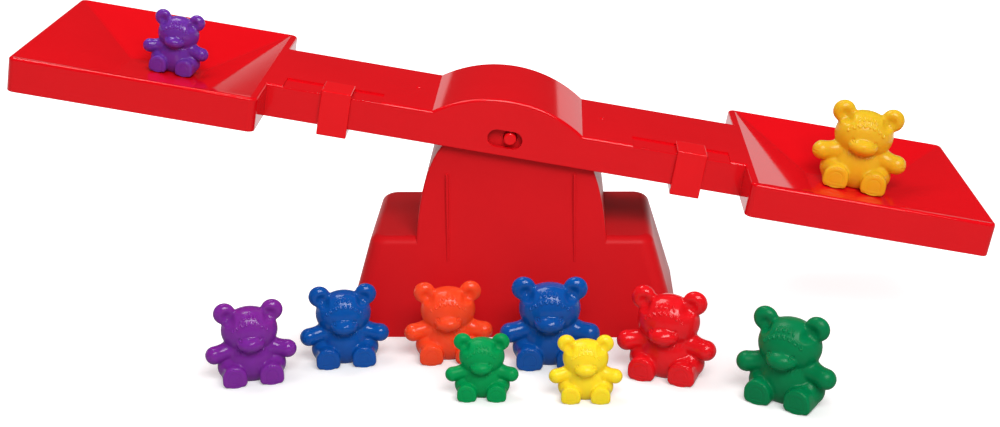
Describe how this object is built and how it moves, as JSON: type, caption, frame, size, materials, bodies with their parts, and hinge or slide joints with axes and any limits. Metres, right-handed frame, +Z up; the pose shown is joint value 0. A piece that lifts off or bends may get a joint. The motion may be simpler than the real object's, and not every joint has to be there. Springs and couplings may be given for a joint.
{
  "type": "counting balance game",
  "caption": "Tilting two-pan balance for counting: one-piece beam on a hollow stand with a pivot pin, sliding riders and bear counters in three sizes.",
  "frame": {"origin": "on the table at the middle of the base's underside, straight under the pivot", "axes": "+X along the beam to the right, +Y to the back, +Z up"},
  "size_m": [0.3763, 0.1571, 0.1248],
  "materials": {
    "base_red": "smooth moulded plastic, satin gloss",
    "pin_red": "smooth moulded plastic",
    "beam_red": "smooth moulded plastic, glossy",
    "rider_red": "smooth moulded plastic, glossy",
    "bear_purple": "soft glossy plastic",
    "bear_blue": "soft glossy plastic",
    "bear_orange": "soft glossy plastic",
    "bear_green": "soft glossy plastic",
    "bear_yellow": "soft glossy plastic",
    "bear_red": "soft glossy plastic"
  },
  "bodies": {
    "stand": {"base": "base_red", "pivot_pin": "pin_red"},
    "beam": {"beam": "beam_red"},
    "rider_left": {"rider_left": "rider_red"},
    "rider_right": {"rider_right": "rider_red"},
    "purple_baby": {"bear_purple_baby": "bear_purple"},
    "yellow_father": {"bear_yellow_father": "bear_yellow"},
    "purple_mother": {"bear_purple_mother": "bear_purple"},
    "blue_mother": {"bear_blue_mother": "bear_blue"},
    "orange_mother": {"bear_orange_mother": "bear_orange"},
    "green_baby": {"bear_green_baby": "bear_green"},
    "blue_father": {"bear_blue_father": "bear_blue"},
    "yellow_baby": {"bear_yellow_baby": "bear_yellow"},
    "red_father": {"bear_red_father": "bear_red"},
    "green_father": {"bear_green_father": "bear_green"}
  },
  "joints": [
    {"name": "beam_tilt", "type": "hinge", "parent": "stand", "child": "beam", "pos_m": [0, 0, 0.0904], "axis": [0, 1, 0], "range_deg": [-20.6, 0]},
    {"name": "rider_left_slide", "type": "slide", "parent": "beam", "child": "rider_left", "axis": [0.9839, 0, -0.1788], "range_m": [-0.015, 0.0114]},
    {"name": "rider_right_slide", "type": "slide", "parent": "beam", "child": "rider_right", "axis": [0.9839, 0, -0.1788], "range_m": [-0.0171, 0.0093]},
    {"name": "purple_baby_lift", "type": "slide", "parent": "beam", "child": "purple_baby", "axis": [0.1788, 0, 0.9839], "range_m": [0, 0.06]},
    {"name": "yellow_father_lift", "type": "slide", "parent": "beam", "child": "yellow_father", "axis": [0.1788, 0, 0.9839], "range_m": [0, 0.06]},
    {"name": "purple_mother_lift", "type": "slide", "parent": "stand", "child": "purple_mother", "axis": [0, 0, 1], "range_m": [0, 0.06]},
    {"name": "blue_mother_lift", "type": "slide", "parent": "stand", "child": "blue_mother", "axis": [0, 0, 1], "range_m": [0, 0.06]},
    {"name": "orange_mother_lift", "type": "slide", "parent": "stand", "child": "orange_mother", "axis": [0, 0, 1], "range_m": [0, 0.06]},
    {"name": "green_baby_lift", "type": "slide", "parent": "stand", "child": "green_baby", "axis": [0, 0, 1], "range_m": [0, 0.06]},
    {"name": "blue_father_lift", "type": "slide", "parent": "stand", "child": "blue_father", "axis": [0, 0, 1], "range_m": [0, 0.06]},
    {"name": "yellow_baby_lift", "type": "slide", "parent": "stand", "child": "yellow_baby", "axis": [0, 0, 1], "range_m": [0, 0.06]},
    {"name": "red_father_lift", "type": "slide", "parent": "stand", "child": "red_father", "axis": [0, 0, 1], "range_m": [0, 0.06]},
    {"name": "green_father_lift", "type": "slide", "parent": "stand", "child": "green_father", "axis": [0, 0, 1], "range_m": [0, 0.06]}
  ]
}
